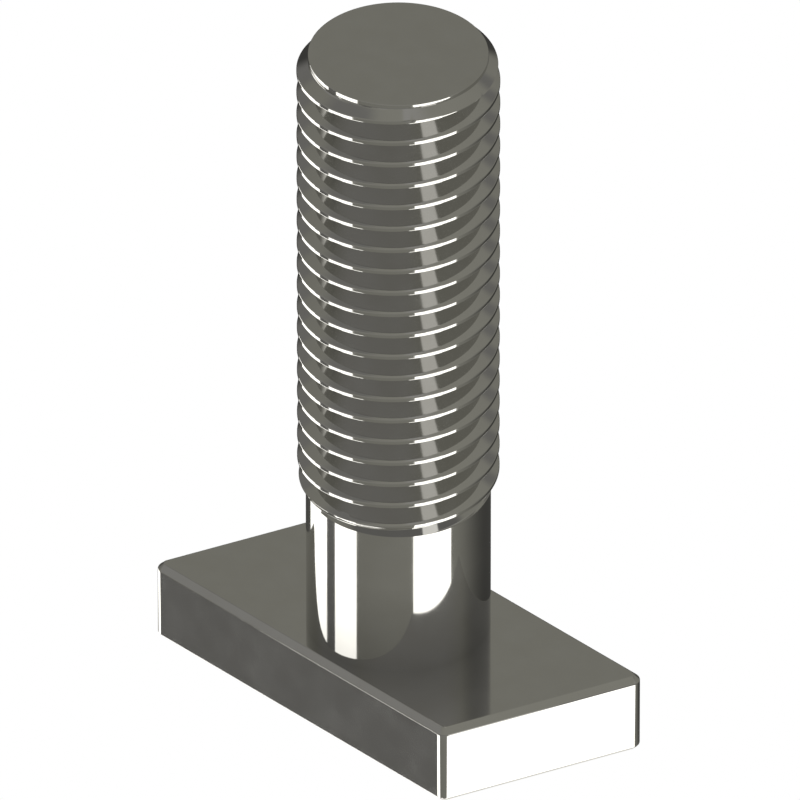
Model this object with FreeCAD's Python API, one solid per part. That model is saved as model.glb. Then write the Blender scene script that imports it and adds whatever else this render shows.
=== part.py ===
import FreeCAD, Part
import math
import os

# Hammer-head bolt that clamps solar panels to a slotted rail, in millimetres.
# It is one forged piece: a flat skewed head that drops into the rail's slot and turns
# across it, a plain shank, and a right-hand thread rolled on the rest of the shank.
# The origin is the middle of the head's underside, +Z runs up the bolt, and the head's
# long edges run along X.

# Head
HEAD_THICKNESS = 4.35
HEAD_WIDTH = 10.3           # between the two long faces
HEAD_LONG_EDGE = 20.1       # along X, to the sharp corners
HEAD_SKEW_ANGLE = 70.0      # degrees, at the two acute corners
HEAD_CORNER_RADIUS = 0.55   # of the four upright corners
HEAD_EDGE_CHAMFER = 0.3     # at 45 degrees, around the upper and the lower face

# Shank
LENGTH_UNDER_HEAD = 33.25
SHANK_DIAMETER = 8.95
SHANK_LENGTH = 8.0          # plain, from the head to where the thread starts to rise

# Thread, an M10 x 1.25 fine thread at the small end of its tolerance
THREAD_DIAMETER = 9.78      # over the crests
THREAD_PITCH = 1.25
THREAD_ANGLE = 60.0         # degrees, between the two flanks of a groove
CREST_FLAT = 0.2            # width of the flat along the top of the ridge
RUNOUT_LENGTH = 0.8         # cone from the shank up to the thread's full diameter
ROOT_RUNOUT_LENGTH = 1.7    # over which the groove reaches its full depth
TOP_CREST_ANGLE = -13.0     # degrees around +Z, where the last crest meets the end cone

# Free end
END_CONE_DEPTH = 0.55       # radial
END_CONE_ANGLE = 30.0       # degrees, from the plane of the end face
END_LAND = 0.22             # short upright rim below the end face
END_ROOT_RUNOUT = 1.0       # below the land, over which the groove runs up to the rim

# Each turn of a helix is one smooth curve through this many points of it, which holds
# it to a millionth of a millimetre
HELIX_POINTS = 15

head_top = HEAD_THICKNESS
bolt_top = head_top + LENGTH_UNDER_HEAD
shank_radius = SHANK_DIAMETER / 2
shank_top = head_top + SHANK_LENGTH
crest_radius = THREAD_DIAMETER / 2
crest_bottom = shank_top + RUNOUT_LENGTH
end_radius = crest_radius - END_CONE_DEPTH
land_bottom = bolt_top - END_LAND
crest_top = land_bottom - END_CONE_DEPTH * math.tan(math.radians(END_CONE_ANGLE))

# The groove is a V with straight flanks: its half width grows by flank_slope for each
# millimetre of radius, from nothing at its root
flank_slope = math.tan(math.radians(THREAD_ANGLE / 2))
root_radius = crest_radius - (THREAD_PITCH - CREST_FLAT) / 2 / flank_slope


def revolve(profile):
    """The solid that a closed outline of (radius, height) points sweeps around +Z."""
    points = [FreeCAD.Vector(radius, 0, height) for radius, height in profile]
    face = Part.Face(Part.makePolygon(points + points[:1]))
    return face.revolve(FreeCAD.Vector(0, 0, 0), FreeCAD.Vector(0, 0, 1), 360)


def make_head():
    """Skewed plate with rounded upright corners and both of its rims chamfered."""
    lean = HEAD_WIDTH / 2 / math.tan(math.radians(HEAD_SKEW_ANGLE))
    half_length = HEAD_LONG_EDGE / 2
    half_width = HEAD_WIDTH / 2
    corners = [
        FreeCAD.Vector(-half_length - lean, -half_width, 0),
        FreeCAD.Vector(half_length - lean, -half_width, 0),
        FreeCAD.Vector(half_length + lean, half_width, 0),
        FreeCAD.Vector(-half_length + lean, half_width, 0),
    ]
    outline = Part.Face(Part.makePolygon(corners + corners[:1]))
    plate = outline.extrude(FreeCAD.Vector(0, 0, HEAD_THICKNESS))
    upright = [edge for edge in plate.Edges if edge.BoundBox.ZLength > HEAD_THICKNESS / 2]
    plate = plate.makeFillet(HEAD_CORNER_RADIUS, upright)
    rims = [edge for edge in plate.Edges if edge.BoundBox.ZLength < HEAD_THICKNESS / 2]
    return plate.makeChamfer(HEAD_EDGE_CHAMFER, rims)


def turned(thread_outline):
    """Bolt without its head, from inside the head to the free end, around one outline
    of the thread."""
    buried = head_top / 2
    below = [(0, buried), (shank_radius, buried), (shank_radius, shank_top)]
    above = [(end_radius, land_bottom), (end_radius, bolt_top), (0, bolt_top)]
    return revolve(below + thread_outline + above)


def helix_turn(radius, start_height, turn):
    """One turn of a right-hand helix of the thread's pitch, as an edge."""
    steps = HELIX_POINTS - 1
    shares = [0.5 - 0.5 * math.cos(math.pi * i / steps) for i in range(HELIX_POINTS)]
    points = []
    for share in shares:
        angle = 2 * math.pi * share
        height = start_height + THREAD_PITCH * (turn + share)
        points.append([FreeCAD.Vector(radius * math.cos(angle), radius * math.sin(angle), height)])
    curve = Part.BezierCurve()
    curve.interpolate(points, shares)
    return curve.toShape()


def make_groove():
    """The V-shaped helical space between the ridges, longer than the thread at both
    ends. It is open outwards to halfway between the crests and where its turns meet."""
    meeting_radius = root_radius + THREAD_PITCH / 2 / flank_slope
    outer_radius = (crest_radius + meeting_radius) / 2
    outer_half_width = (outer_radius - root_radius) * flank_slope
    corners = [(root_radius, 0), (outer_radius, -outer_half_width), (outer_radius, outer_half_width)]

    # the top crest is half a pitch below a groove, whose turns are counted from angle 0
    top_groove = crest_top + THREAD_PITCH / 2 - THREAD_PITCH * TOP_CREST_ANGLE / 360
    turns = math.ceil((top_groove - shank_top) / THREAD_PITCH) + 2
    start = top_groove - (turns - 1) * THREAD_PITCH

    faces = []
    for turn in range(turns):
        edges = [helix_turn(radius, start + offset, turn) for radius, offset in corners]
        for edge, following in zip(edges, edges[1:] + edges[:1]):
            faces.append(Part.makeRuledSurface(edge, following))
    for height in (start, start + turns * THREAD_PITCH):
        points = [FreeCAD.Vector(radius, 0, height + offset) for radius, offset in corners]
        faces.append(Part.Face(Part.makePolygon(points + points[:1])))
    sewn = Part.makeCompound(faces)
    sewn.sewShape(1e-5)
    groove = Part.makeSolid(sewn.Shells[0] if sewn.Shells else sewn)
    if groove.Volume < 0:
        groove.reverse()
    return groove


def make_bolt():
    """The blank less its groove, plus the core that the groove never reaches. The core
    narrows from the shank to inside the root and widens again to the rim, so the groove
    runs out at both ends of the thread."""
    blank = turned([(crest_radius, crest_bottom), (crest_radius, crest_top)])
    core_radius = 0.98 * root_radius
    core_bottom = shank_top + ROOT_RUNOUT_LENGTH
    core_top = land_bottom - END_ROOT_RUNOUT
    core = turned([(core_radius, core_bottom), (core_radius, core_top)])
    threaded = blank.cut(make_groove()).fuse(core)
    return threaded.fuse(make_head()).removeSplitter().Solids[0]


os.makedirs("parts", exist_ok=True)
make_bolt().exportStep("parts/hammer_head_bolt.step")
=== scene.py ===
import math

import bmesh
import bpy
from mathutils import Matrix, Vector


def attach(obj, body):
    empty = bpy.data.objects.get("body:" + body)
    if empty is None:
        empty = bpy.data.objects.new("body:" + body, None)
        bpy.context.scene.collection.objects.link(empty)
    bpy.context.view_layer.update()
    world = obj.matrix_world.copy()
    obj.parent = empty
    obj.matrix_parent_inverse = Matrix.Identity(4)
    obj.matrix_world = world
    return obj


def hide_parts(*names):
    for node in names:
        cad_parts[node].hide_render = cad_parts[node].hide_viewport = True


# Looks of a hammer-head bolt for solar rails: one forged piece of stainless steel with
# a rolled thread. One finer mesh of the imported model's form stands for it here, in its
# place and with its sizes, which are repeated below. Its edges are softened a little.

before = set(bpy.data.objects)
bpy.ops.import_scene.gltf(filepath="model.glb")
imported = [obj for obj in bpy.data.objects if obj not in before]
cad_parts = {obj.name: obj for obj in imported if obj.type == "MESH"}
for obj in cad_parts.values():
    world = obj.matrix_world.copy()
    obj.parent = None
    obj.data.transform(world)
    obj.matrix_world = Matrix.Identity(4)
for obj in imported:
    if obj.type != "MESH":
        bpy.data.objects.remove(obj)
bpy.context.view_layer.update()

MM = 0.001

# Sizes of the bolt, in millimetres and degrees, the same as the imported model's
HEAD_THICKNESS = 4.35
HEAD_WIDTH = 10.3
HEAD_LONG_EDGE = 20.1
HEAD_SKEW_ANGLE = 70.0
HEAD_CORNER_RADIUS = 0.55
HEAD_EDGE_CHAMFER = 0.3
LENGTH_UNDER_HEAD = 33.25
SHANK_DIAMETER = 8.95
SHANK_LENGTH = 8.0
THREAD_DIAMETER = 9.78
THREAD_PITCH = 1.25
THREAD_ANGLE = 60.0
CREST_FLAT = 0.2
RUNOUT_LENGTH = 0.8
ROOT_RUNOUT_LENGTH = 1.7
CORE_SHARE = 0.98           # radius of the core inside the thread, as a share of the root's
TOP_CREST_ANGLE = -13.0
END_CONE_DEPTH = 0.55
END_CONE_ANGLE = 30.0
END_LAND = 0.22
END_ROOT_RUNOUT = 1.0

# How far from a corner its rounding starts, in millimetres
HEAD_EDGE_SOFTNESS = 0.05
CREST_SOFTNESS = 0.03
ROOT_SOFTNESS = 0.1
RIM_SOFTNESS = 0.03
MOST_OF_A_SIDE = 0.45       # share of a side that a rounding may take, so that no two meet

# Fineness of the mesh
COLUMNS = 192               # around the bolt
CORNER_STEPS = 14           # along each upright corner of the head
EDGE_STEPS = 3              # across each softened edge of the head and the rim
THREAD_STEPS = 2            # across each softened edge of the thread
CORNERS_PER_TURN = 5        # in the thread's outline
NEAR_MIDDLE = 0.4           # share of a crest's width, within which its bend may lie off its middle
RIM_FLAT = 0.3              # millimetres of the head's flat faces inside its chamfers
SHARP_ANGLE = 9.0           # degrees, from which two facets don't blend in their shading
WELD = 0.0004               # millimetres, below which two points are one

head_top = HEAD_THICKNESS
bolt_top = head_top + LENGTH_UNDER_HEAD
shank_radius = SHANK_DIAMETER / 2
shank_top = head_top + SHANK_LENGTH
crest_radius = THREAD_DIAMETER / 2
crest_bottom = shank_top + RUNOUT_LENGTH
end_radius = crest_radius - END_CONE_DEPTH
land_bottom = bolt_top - END_LAND
crest_top = land_bottom - END_CONE_DEPTH * math.tan(math.radians(END_CONE_ANGLE))

# The groove is a V whose half width grows by flank_slope for each millimetre of radius
flank_slope = math.tan(math.radians(THREAD_ANGLE / 2))
root_radius = crest_radius - (THREAD_PITCH - CREST_FLAT) / 2 / flank_slope
core_radius = CORE_SHARE * root_radius

# Straight lines that bound the thread: radius, height, radius gained per millimetre of height
crest_line = (crest_radius, crest_bottom, 0)
runout_line = (shank_radius, shank_top, (crest_radius - shank_radius) / RUNOUT_LENGTH)
end_cone_line = (end_radius, land_bottom, -1 / math.tan(math.radians(END_CONE_ANGLE)))
lower_core_line = (shank_radius, shank_top, (core_radius - shank_radius) / ROOT_RUNOUT_LENGTH)
upper_core_line = (end_radius, land_bottom, (end_radius - core_radius) / END_ROOT_RUNOUT)
outer_lines = (crest_line, runout_line, end_cone_line)
core_lines = (lower_core_line, upper_core_line)

# Turns of the groove, from below the shank's top, where it hasn't begun, to above the rim
turns = math.ceil((crest_top + 1.5 * THREAD_PITCH - shank_top) / THREAD_PITCH) + 2


def clamp(value, low, high):
    return max(low, min(high, value))


def soften(corners, reaches, steps):
    """The line through these corners, each rounded from its reach before it to its reach after it.
    Each corner gives the same number of points, so lines with equal corners match."""
    points = [corners[0]]
    for before, corner, after, reach in zip(corners, corners[1:], corners[2:], reaches[1:]):
        ends = []
        for neighbour in (before, after):
            length = math.dist(corner, neighbour)
            share = min(reach, MOST_OF_A_SIDE * length) / length if length > 0 else 0
            ends.append([c + (n - c) * share for c, n in zip(corner, neighbour)])
        for step in range(steps + 1):
            t = step / steps
            points.append([
                (1 - t) ** 2 * start + 2 * t * (1 - t) * middle + t**2 * end
                for start, middle, end in zip(ends[0], corner, ends[1])
            ])
    points.append(corners[-1])
    return points


def radius_on(line, height):
    radius, start, slope = line
    return radius + slope * (height - start)


def meeting(groove, side, line):
    """Height where the groove's flank on that side, -1 below its root and 1 above it, meets a line."""
    radius, start, slope = line
    steepness = side / flank_slope
    return (radius - slope * start - root_radius + steepness * groove) / (steepness - slope)


def surface_radius(height, groove):
    """Radius of the bolt at this height, beside the groove whose root is at that one."""
    outside = min(radius_on(line, height) for line in outer_lines)
    flank = root_radius + abs(height - groove) / flank_slope
    core = max(radius_on(line, height) for line in core_lines)
    return max(core, min(outside, flank))


def thread_corners(angle):
    """Corners of the thread's outline at that angle, and how far each is rounded, from the shank up
    to the rim. Each groove gives five: the crest below it, its edge, its two root ends, its edge."""
    rise = THREAD_PITCH * (angle - math.radians(TOP_CREST_ANGLE)) / (2 * math.pi)
    top_groove = crest_top + THREAD_PITCH / 2 + rise
    corners = [(shank_radius, shank_top)]
    reaches = [0]
    previous = shank_top
    for turn in range(turns):
        groove = top_groove - (turns - 1 - turn) * THREAD_PITCH
        lower_edge = max(meeting(groove, -1, line) for line in (crest_line, runout_line))
        lower_edge = clamp(lower_edge, shank_top, land_bottom)
        upper_edge = min(meeting(groove, 1, line) for line in outer_lines)
        upper_edge = clamp(upper_edge, lower_edge, land_bottom)
        lower_root = min([groove] + [meeting(groove, -1, line) for line in core_lines])
        upper_root = max([groove] + [meeting(groove, 1, line) for line in core_lines])

        # the crest bends where the run-out or the end cone meets it, or else at its middle
        bend = (previous + lower_edge) / 2
        for corner in (crest_bottom, crest_top):
            if abs(corner - bend) < NEAR_MIDDLE * (lower_edge - previous):
                bend = corner

        for height, reach in (
            (bend, CREST_SOFTNESS),
            (lower_edge, CREST_SOFTNESS),
            (clamp(lower_root, lower_edge, upper_edge), ROOT_SOFTNESS),
            (clamp(upper_root, lower_edge, upper_edge), ROOT_SOFTNESS),
            (upper_edge, CREST_SOFTNESS),
        ):
            corners.append((surface_radius(height, groove), height))
            reaches.append(reach)
        previous = upper_edge
    corners.append((end_radius, land_bottom))
    reaches.append(0)
    return corners, reaches


def head_outline(inset, height):
    """Skewed outline of the head with its rounded corners, moved in by inset, as points around +Z."""
    lean = HEAD_WIDTH / 2 / math.tan(math.radians(HEAD_SKEW_ANGLE))
    half_length = HEAD_LONG_EDGE / 2
    half_width = HEAD_WIDTH / 2
    corners = [
        Vector((half_length + lean, half_width)),
        Vector((-half_length + lean, half_width)),
        Vector((-half_length - lean, -half_width)),
        Vector((half_length - lean, -half_width)),
    ]
    points = []
    for before, corner, after in zip(corners[-1:] + corners, corners, corners[1:] + corners[:1]):
        arriving = (corner - before).normalized()
        leaving = (after - corner).normalized()
        turned = arriving.angle(leaving)
        first = math.atan2(-arriving.x, arriving.y)
        inward = (leaving - arriving).normalized()
        centre = corner + inward * HEAD_CORNER_RADIUS / math.cos(turned / 2)
        radius = HEAD_CORNER_RADIUS - inset
        for step in range(CORNER_STEPS + 1):
            a = first + turned * step / CORNER_STEPS
            points.append((centre.x + radius * math.cos(a), centre.y + radius * math.sin(a), height))
    return points


def ring_points(radius, height):
    angles = [2 * math.pi * i / COLUMNS for i in range(COLUMNS)]
    return [(radius * math.cos(a), radius * math.sin(a), height) for a in angles]


def add_rings(mesh, rings):
    """Joins rings of equal numbers of points with faces, and gives the rings of vertices."""
    made = [[mesh.verts.new(Vector(point) * MM) for point in ring] for ring in rings]
    for lower, upper in zip(made, made[1:]):
        for i in range(len(lower)):
            mesh.faces.new((lower[i - 1], lower[i], upper[i], upper[i - 1]))
    return made


def add_head(mesh):
    """Underside, chamfers and upright faces of the head. Gives the ring around its upper face."""
    flat = HEAD_EDGE_CHAMFER + RIM_FLAT
    rim = [
        (flat, 0),
        (HEAD_EDGE_CHAMFER, 0),
        (0, HEAD_EDGE_CHAMFER),
        (0, head_top - HEAD_EDGE_CHAMFER),
        (HEAD_EDGE_CHAMFER, head_top),
        (flat, head_top),
    ]
    rim = soften(rim, [HEAD_EDGE_SOFTNESS] * len(rim), EDGE_STEPS)[1:-1]
    rings = add_rings(mesh, [head_outline(inset, height) for inset, height in rim])
    mesh.faces.new(list(reversed(rings[0])))
    return rings[-1]


def add_shank(mesh, head_rim):
    """Plain shank, and the upper face of the head between the shank and that rim."""
    shank = add_rings(mesh, [ring_points(shank_radius, height) for height in (head_top, shank_top)])
    edges = []
    for loop in (head_rim, shank[0]):
        edges += [mesh.edges.get((loop[i - 1], loop[i])) for i in range(len(loop))]
    bmesh.ops.triangle_fill(mesh, use_beauty=True, edges=edges, normal=(0, 0, 1))


def add_thread(mesh):
    """Thread from the shank's top to the rim: one column of points at each angle. After a whole
    turn the rows have moved up by one turn of the thread."""
    columns = []
    for i in range(COLUMNS):
        angle = 2 * math.pi * i / COLUMNS
        outline = soften(*thread_corners(angle), THREAD_STEPS)
        columns.append([
            mesh.verts.new(Vector((radius * math.cos(angle), radius * math.sin(angle), height)) * MM)
            for radius, height in outline
        ])
    last_row = len(columns[0]) - 1
    rows_per_turn = CORNERS_PER_TURN * (THREAD_STEPS + 1)
    for i, left in enumerate(columns):
        right = columns[(i + 1) % COLUMNS]
        shift = rows_per_turn if i == COLUMNS - 1 else 0
        for row in range(last_row):
            low = min(row + shift, last_row)
            high = min(row + 1 + shift, last_row)
            if low == high:
                mesh.faces.new((left[row], right[low], left[row + 1]))
            else:
                mesh.faces.new((left[row], right[low], right[high], left[row + 1]))


def add_free_end(mesh):
    """Upright rim and end face."""
    rim = [(end_radius, land_bottom), (end_radius, bolt_top), (0, bolt_top)]
    rim = soften(rim, [RIM_SOFTNESS] * len(rim), EDGE_STEPS)[:-1]
    rings = add_rings(mesh, [ring_points(radius, height) for radius, height in rim])
    mesh.faces.new(rings[-1])


def make_bolt():
    """The whole bolt as one closed mesh."""
    mesh = bmesh.new()
    add_shank(mesh, add_head(mesh))
    add_thread(mesh)
    add_free_end(mesh)
    bmesh.ops.remove_doubles(mesh, verts=mesh.verts, dist=WELD * MM)
    bmesh.ops.recalc_face_normals(mesh, faces=mesh.faces)
    data = bpy.data.meshes.new("bolt")
    mesh.to_mesh(data)
    mesh.free()
    data.shade_smooth()
    data.set_sharp_from_angle(angle=math.radians(SHARP_ANGLE))
    bolt = bpy.data.objects.new("bolt", data)
    bpy.context.scene.collection.objects.link(bolt)
    even_shading = bolt.modifiers.new("even_shading", "WEIGHTED_NORMAL")
    even_shading.keep_sharp = True
    return bolt


def linear(hex_colour):
    """sRGB hex as a linear colour with alpha."""
    levels = [int(hex_colour[i:i + 2], 16) / 255 for i in (1, 3, 5)]
    return [c / 12.92 if c <= 0.04045 else ((c + 0.055) / 1.055) ** 2.4 for c in levels] + [1]


def add(tree, kind, settings=None, inputs=None, links=None):
    """Adds a node with its settings, input values and incoming links."""
    node = tree.nodes.new(kind)
    for name, value in (settings or {}).items():
        setattr(node, name, value)
    for name, value in (inputs or {}).items():
        node.inputs[name].default_value = value
    for name, output in (links or {}).items():
        tree.links.new(output, node.inputs[name])
    return node


# ShaderNodeMix has an input and an output for each type of value; these are the colours'
MIX_FIRST, MIX_SECOND, MIX_RESULT = 6, 7, 2


def new_tree(owner):
    """Empty node tree of a material or world."""
    owner.use_nodes = True
    owner.node_tree.nodes.clear()
    return owner.node_tree


# Finish of the steel, and the painted shade on the foot of the shank
FORGED_DEPTH = 0.0015       # mm, of the slow unevenness
DRAWN_DEPTH = 0.00015       # mm, of the fine lines
CLEAR_ROUGHNESS = 0.05      # where tumbling left no haze
HAZY_ROUGHNESS = 0.09       # and where it left most
PAINTED_SHADE_LENGTH = 5.0           # mm of the shank above the head that carry painted shade
PAINTED_SHADE_LOSS = 0.4             # share of the steel's brightness taken away by the painted shade right above the head
PAINTED_SHADE_MARGIN = 0.002         # mm around the shank, so that the painted shade stays on its own surface


def make_stainless_steel():
    """Stainless steel, taken to be cold forged and rolled, then tumbled bright, which the photo can't
    confirm. The eye sees a clear, slightly warm mirror. A little unevenness stands for the forging,
    fine lines along the bolt for drawing, and a soft haze that comes and goes for tumbling."""
    material = bpy.data.materials.new("stainless_steel")
    tree = new_tree(material)
    place = add(tree, "ShaderNodeTexCoord").outputs["Object"]

    # Cloudy patterns: width of their patches in millimetres, how much each axis counts, detail.
    # The noise has about two patches to a unit. Drawn lines are taken to be about 0.02 mm apart,
    # which is too fine to show, and are made six times coarser.
    patterns = {}
    for name, width, axes, detail in (
        ("forged", 2.2, (1, 1, 1), 1.0),
        ("drawn", 0.12, (1, 1, 0.03), 2.0),
        ("tumbled", 0.7, (1, 1, 1), 4.0),
    ):
        stretched = add(tree, "ShaderNodeVectorMath", {"operation": "MULTIPLY"}, {1: axes}, {0: place})
        cloud = add(
            tree, "ShaderNodeTexNoise",
            inputs={"Scale": 1 / (2 * width * MM), "Detail": detail},
            links={"Vector": stretched.outputs[0]},
        )
        patterns[name] = cloud.outputs["Fac"]

    # Painted shade: the steel's own colour is darkened on the foot of the shank towards the head,
    # standing in for the shade that falls in the inside corner between shank and head. Whether
    # that is its finish or only the light isn't known; here the steel's own colour is darker
    # there, to look alike.
    across = add(tree, "ShaderNodeVectorMath", {"operation": "MULTIPLY"}, {1: (1, 1, 0)}, {0: place})
    radius = add(tree, "ShaderNodeVectorMath", {"operation": "LENGTH"}, links={0: across.outputs[0]})
    height = add(tree, "ShaderNodeSeparateXYZ", links={0: place}).outputs[2]
    painted_shade = add(
        tree, "ShaderNodeMapRange",
        inputs={
            "From Min": (head_top + PAINTED_SHADE_LENGTH) * MM,
            "From Max": head_top * MM,
            "To Max": PAINTED_SHADE_LOSS,
        },
        links={"Value": height},
    )
    for operation, value, limit in (
        ("LESS_THAN", radius.outputs["Value"], shank_radius + PAINTED_SHADE_MARGIN),
        ("GREATER_THAN", height, head_top - PAINTED_SHADE_MARGIN),
    ):
        inside = add(tree, "ShaderNodeMath", {"operation": operation}, {1: limit * MM}, {0: value})
        both = {0: painted_shade.outputs[0], 1: inside.outputs[0]}
        painted_shade = add(tree, "ShaderNodeMath", {"operation": "MULTIPLY"}, links=both)
    kept = add(tree, "ShaderNodeMath", {"operation": "SUBTRACT"}, {0: 1.0}, {1: painted_shade.outputs[0]})

    steel = add(
        tree, "ShaderNodeMix", {"data_type": "RGBA"},
        {MIX_FIRST: linear("#C7C6C3"), MIX_SECOND: linear("#CFCFCE")},
        {"Factor": patterns["tumbled"]},
    )
    # the steel's colour, darkened by the painted shade at the foot of the shank
    colour = add(
        tree, "ShaderNodeVectorMath", {"operation": "SCALE"},
        links={0: steel.outputs[MIX_RESULT], "Scale": kept.outputs[0]},
    )

    # the clouds lie between 0.3 and 0.7 for the most part
    haze = add(
        tree, "ShaderNodeMapRange",
        inputs={"From Min": 0.3, "From Max": 0.7, "To Min": CLEAR_ROUGHNESS, "To Max": HAZY_ROUGHNESS},
        links={"Value": patterns["tumbled"]},
    )
    uneven = add(
        tree, "ShaderNodeBump",
        inputs={"Strength": 1.0, "Distance": FORGED_DEPTH * MM},
        links={"Height": patterns["forged"]},
    )
    lined = add(
        tree, "ShaderNodeBump",
        inputs={"Strength": 1.0, "Distance": DRAWN_DEPTH * MM},
        links={"Height": patterns["drawn"], "Normal": uneven.outputs[0]},
    )
    metal = add(tree, "ShaderNodeBsdfPrincipled", inputs={"Metallic": 1.0}, links={
        "Base Color": colour.outputs[0],
        "Roughness": haze.outputs[0],
        "Normal": lined.outputs[0],
    })
    add(tree, "ShaderNodeOutputMaterial", links={"Surface": metal.outputs[0]})
    return material


def make_white_paper():
    """Seamless white paper lit so evenly that the eye sees no shade on it."""
    material = bpy.data.materials.new("white_paper")
    tree = new_tree(material)
    glow = add(tree, "ShaderNodeEmission", inputs={"Color": linear("#FFFFFF"), "Strength": 1.0})
    add(tree, "ShaderNodeOutputMaterial", links={"Surface": glow.outputs[0]})
    return material


bolt = make_bolt()
bolt.data.materials.append(make_stainless_steel())
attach(bolt, "root")
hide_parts("hammer_head_bolt")

# Floor
FLOOR_SIZE = 6000.0         # mm
FLOOR_GAP = 0.02            # mm below the head's underside


def make_floor():
    """Sheet of white paper under the bolt, which the bolt doesn't mirror."""
    half = FLOOR_SIZE / 2 * MM
    corners = [(-half, -half, 0), (half, -half, 0), (half, half, 0), (-half, half, 0)]
    data = bpy.data.meshes.new("floor")
    data.from_pydata(corners, [], [(0, 1, 2, 3)])
    data.materials.append(make_white_paper())
    floor = bpy.data.objects.new("floor", data)
    bpy.context.scene.collection.objects.link(floor)
    floor.location.z = -FLOOR_GAP * MM
    floor.visible_glossy = False
    floor.visible_diffuse = False
    floor.visible_shadow = False


make_floor()

# Studio, seen only in the steel. Its warm grey brightens evenly towards one side of the sky, and
# lamps and dark flags stand at fixed directions around the bolt. The photo doesn't show them: all
# their values are fitted, render by render, to how bright the steel is in the photo.
STUDIO_GREY = "#898880"
STUDIO_SLOPE = (0.141, -0.03, 0.18)     # share of that grey gained towards +X, +Y and +Z
PANEL_WHITE = "#FFFDF7"

# Middle azimuth from +X towards +Y, half width and the fade at its sides, lowest and highest
# elevation and the fade at its ends, all in degrees, and the brightness
PANELS = [
    (20, 60, 30, 44, 100, 8, 0.355),         # glow high on the right
    (-155, 32, 16, 48, 74, 6, 0.205),        # shade high on the left
    (-130, 28, 14, 24, 44, 5, 0.29),         # and a weak glow below it
    (-30, 62, 25, 22, 40, 4, 0.345),         # shades between the right glow and the lamps
    (85, 30, 18, 30, 38, 3, 0.19),
    (175, 18, 6, 8, 28, 3, 0.2),             # faint shade on the left
    (-75, 45, 15, -27, -8, 5, 0.298),        # weak glow above the lamps
    (-35, 66, 8, -5, 9, 3, 0.15),            # dark strip along the horizon
    (118, 44, 50, -41, -20, 8, 0.045),       # dark flag behind, low
    (135, 38, 8, -12, 12, 5, 0.06),          # and its upper part
    (135, 40, 10, -90, -44, 2, 0.9),         # lamp below it
    (-139.6, 8.5, 0.6, -90, -12, 2, 0.155),  # dark gap between two white lamps
    (-166.5, 20.5, 0.6, -90, -7, 6, 2.4),    # wide white lamps
    (-115.0, 16.3, 0.4, -90, -28, 1, 2.4),
    (-1.0, 25.3, 0.6, -90, -28, 1, 2.4),
    (-8.0, 9.0, 0.8, -28, 16, 2, 0.97),      # narrow lamp above the last of them
]


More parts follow.
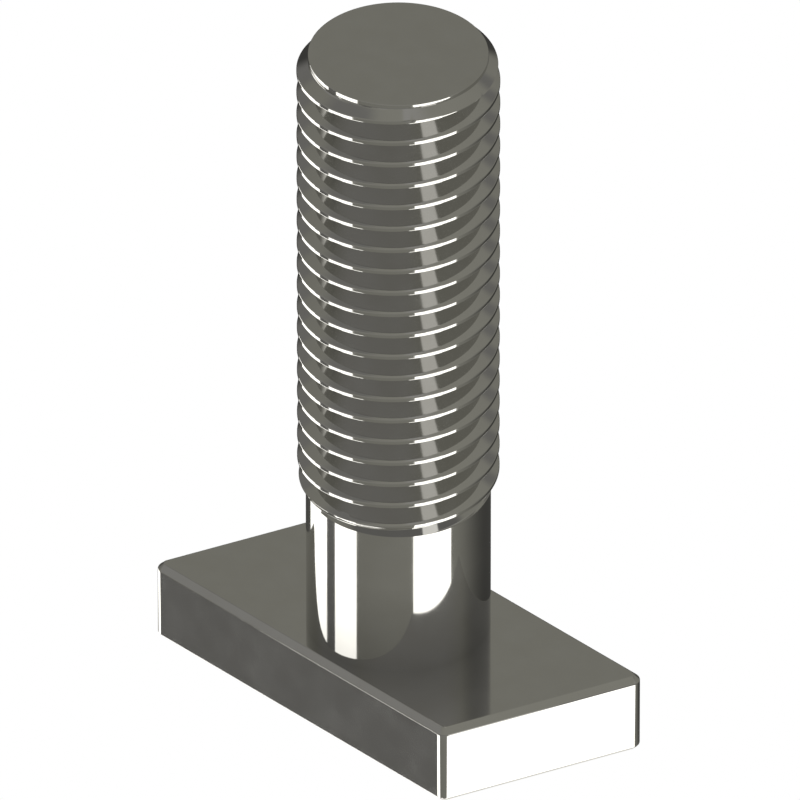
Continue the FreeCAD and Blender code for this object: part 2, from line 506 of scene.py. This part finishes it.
def make_studio():
    """World that colours each direction by the grey and the panels that cover it."""
    world = bpy.data.worlds.new("studio")
    bpy.context.scene.world = world
    tree = new_tree(world)
    direction = add(tree, "ShaderNodeTexCoord").outputs["Generated"]
    parts = add(tree, "ShaderNodeSeparateXYZ", links={0: direction})
    height = parts.outputs[2]
    across = add(tree, "ShaderNodeCombineXYZ", links={0: parts.outputs[0], 1: parts.outputs[1]})
    heading = add(tree, "ShaderNodeVectorMath", {"operation": "NORMALIZE"}, links={0: across.outputs[0]})
    slope = add(
        tree, "ShaderNodeVectorMath", {"operation": "DOT_PRODUCT"}, {1: STUDIO_SLOPE}, {0: direction}
    )
    gain = add(tree, "ShaderNodeMath", {"operation": "ADD"}, {1: 1.0}, {0: slope.outputs["Value"]})
    grey = add(
        tree, "ShaderNodeVectorMath", {"operation": "SCALE"},
        {0: linear(STUDIO_GREY)[:3]}, {"Scale": gain.outputs[0]},
    )
    colour = grey.outputs[0]
    for azimuth, half_width, side_fade, low, high, end_fade, brightness in PANELS:
        middle = (math.cos(math.radians(azimuth)), math.sin(math.radians(azimuth)), 0)
        facing = add(
            tree, "ShaderNodeVectorMath", {"operation": "DOT_PRODUCT"}, {1: middle}, {0: heading.outputs[0]}
        )
        # how far inside each of its edges a direction lies, as a share from 0 to 1
        cover = None
        for value, outside, inside, height_of in (
            (facing.outputs["Value"], half_width + side_fade, half_width - side_fade, math.cos),
            (height, low - end_fade, low + end_fade, math.sin),
            (height, high + end_fade, high - end_fade, math.sin),
        ):
            if outside < -90:
                continue
            edge = add(
                tree, "ShaderNodeMapRange", {"interpolation_type": "SMOOTHSTEP"},
                {
                    "From Min": height_of(math.radians(outside)),
                    "From Max": height_of(math.radians(inside)),
                },
                {"Value": value},
            )
            if cover is None:
                cover = edge
            else:
                both = {0: cover.outputs[0], 1: edge.outputs[0]}
                cover = add(tree, "ShaderNodeMath", {"operation": "MULTIPLY"}, links=both)
        panel = [brightness * level for level in linear(PANEL_WHITE)[:3]] + [1]
        mixed = add(
            tree, "ShaderNodeMix", {"data_type": "RGBA"},
            {MIX_SECOND: panel}, {MIX_FIRST: colour, "Factor": cover.outputs[0]},
        )
        colour = mixed.outputs[MIX_RESULT]

    # the camera sees plain white behind the bolt, and the steel mirrors the studio
    studio = add(tree, "ShaderNodeBackground", links={"Color": colour})
    backdrop = add(tree, "ShaderNodeBackground", inputs={"Color": linear("#FFFFFF")})
    path = add(tree, "ShaderNodeLightPath")
    shown = add(tree, "ShaderNodeMixShader", links={
        0: path.outputs["Is Camera Ray"],
        1: studio.outputs[0],
        2: backdrop.outputs[0],
    })
    add(tree, "ShaderNodeOutputWorld", links={"Surface": shown.outputs[0]})


make_studio()

# Camera, so far away through so long a lens that parallel edges stay nearly parallel
LENS = 1600.0               # mm
SENSOR = 36.0               # mm
VIEW_WIDTH = 38.554         # mm across the picture, at the middle of the bolt's height
AIM_RIGHT = 0.08            # mm in the picture, from the middle of the head's underside
AIM_UP = 14.115
AZIMUTH = 45.0              # degrees
ELEVATION = math.degrees(math.asin(math.sqrt(1 / 3)))


def make_camera():
    """Camera that looks down on the bolt, at a corner of its head."""
    azimuth = math.radians(AZIMUTH)
    elevation = math.radians(ELEVATION)
    right = Vector((math.cos(azimuth), math.sin(azimuth), 0))
    towards = Vector((math.sin(azimuth), -math.cos(azimuth), 0))
    back = towards * math.cos(elevation) + Vector((0, 0, math.sin(elevation)))
    up = back.cross(right)
    distance = VIEW_WIDTH / SENSOR * LENS + bolt_top / 2 * math.sin(elevation)
    data = bpy.data.cameras.new("camera")
    data.lens = LENS
    data.sensor_width = SENSOR
    camera = bpy.data.objects.new("camera", data)
    bpy.context.scene.collection.objects.link(camera)
    camera.location = (right * AIM_RIGHT + up * AIM_UP + back * distance) * MM
    camera.rotation_mode = "QUATERNION"
    camera.rotation_quaternion = back.to_track_quat("Z", "Y")
    bpy.context.scene.camera = camera


make_camera()
bpy.context.scene.view_settings.view_transform = "Standard"
bpy.context.scene.view_settings.look = "None"
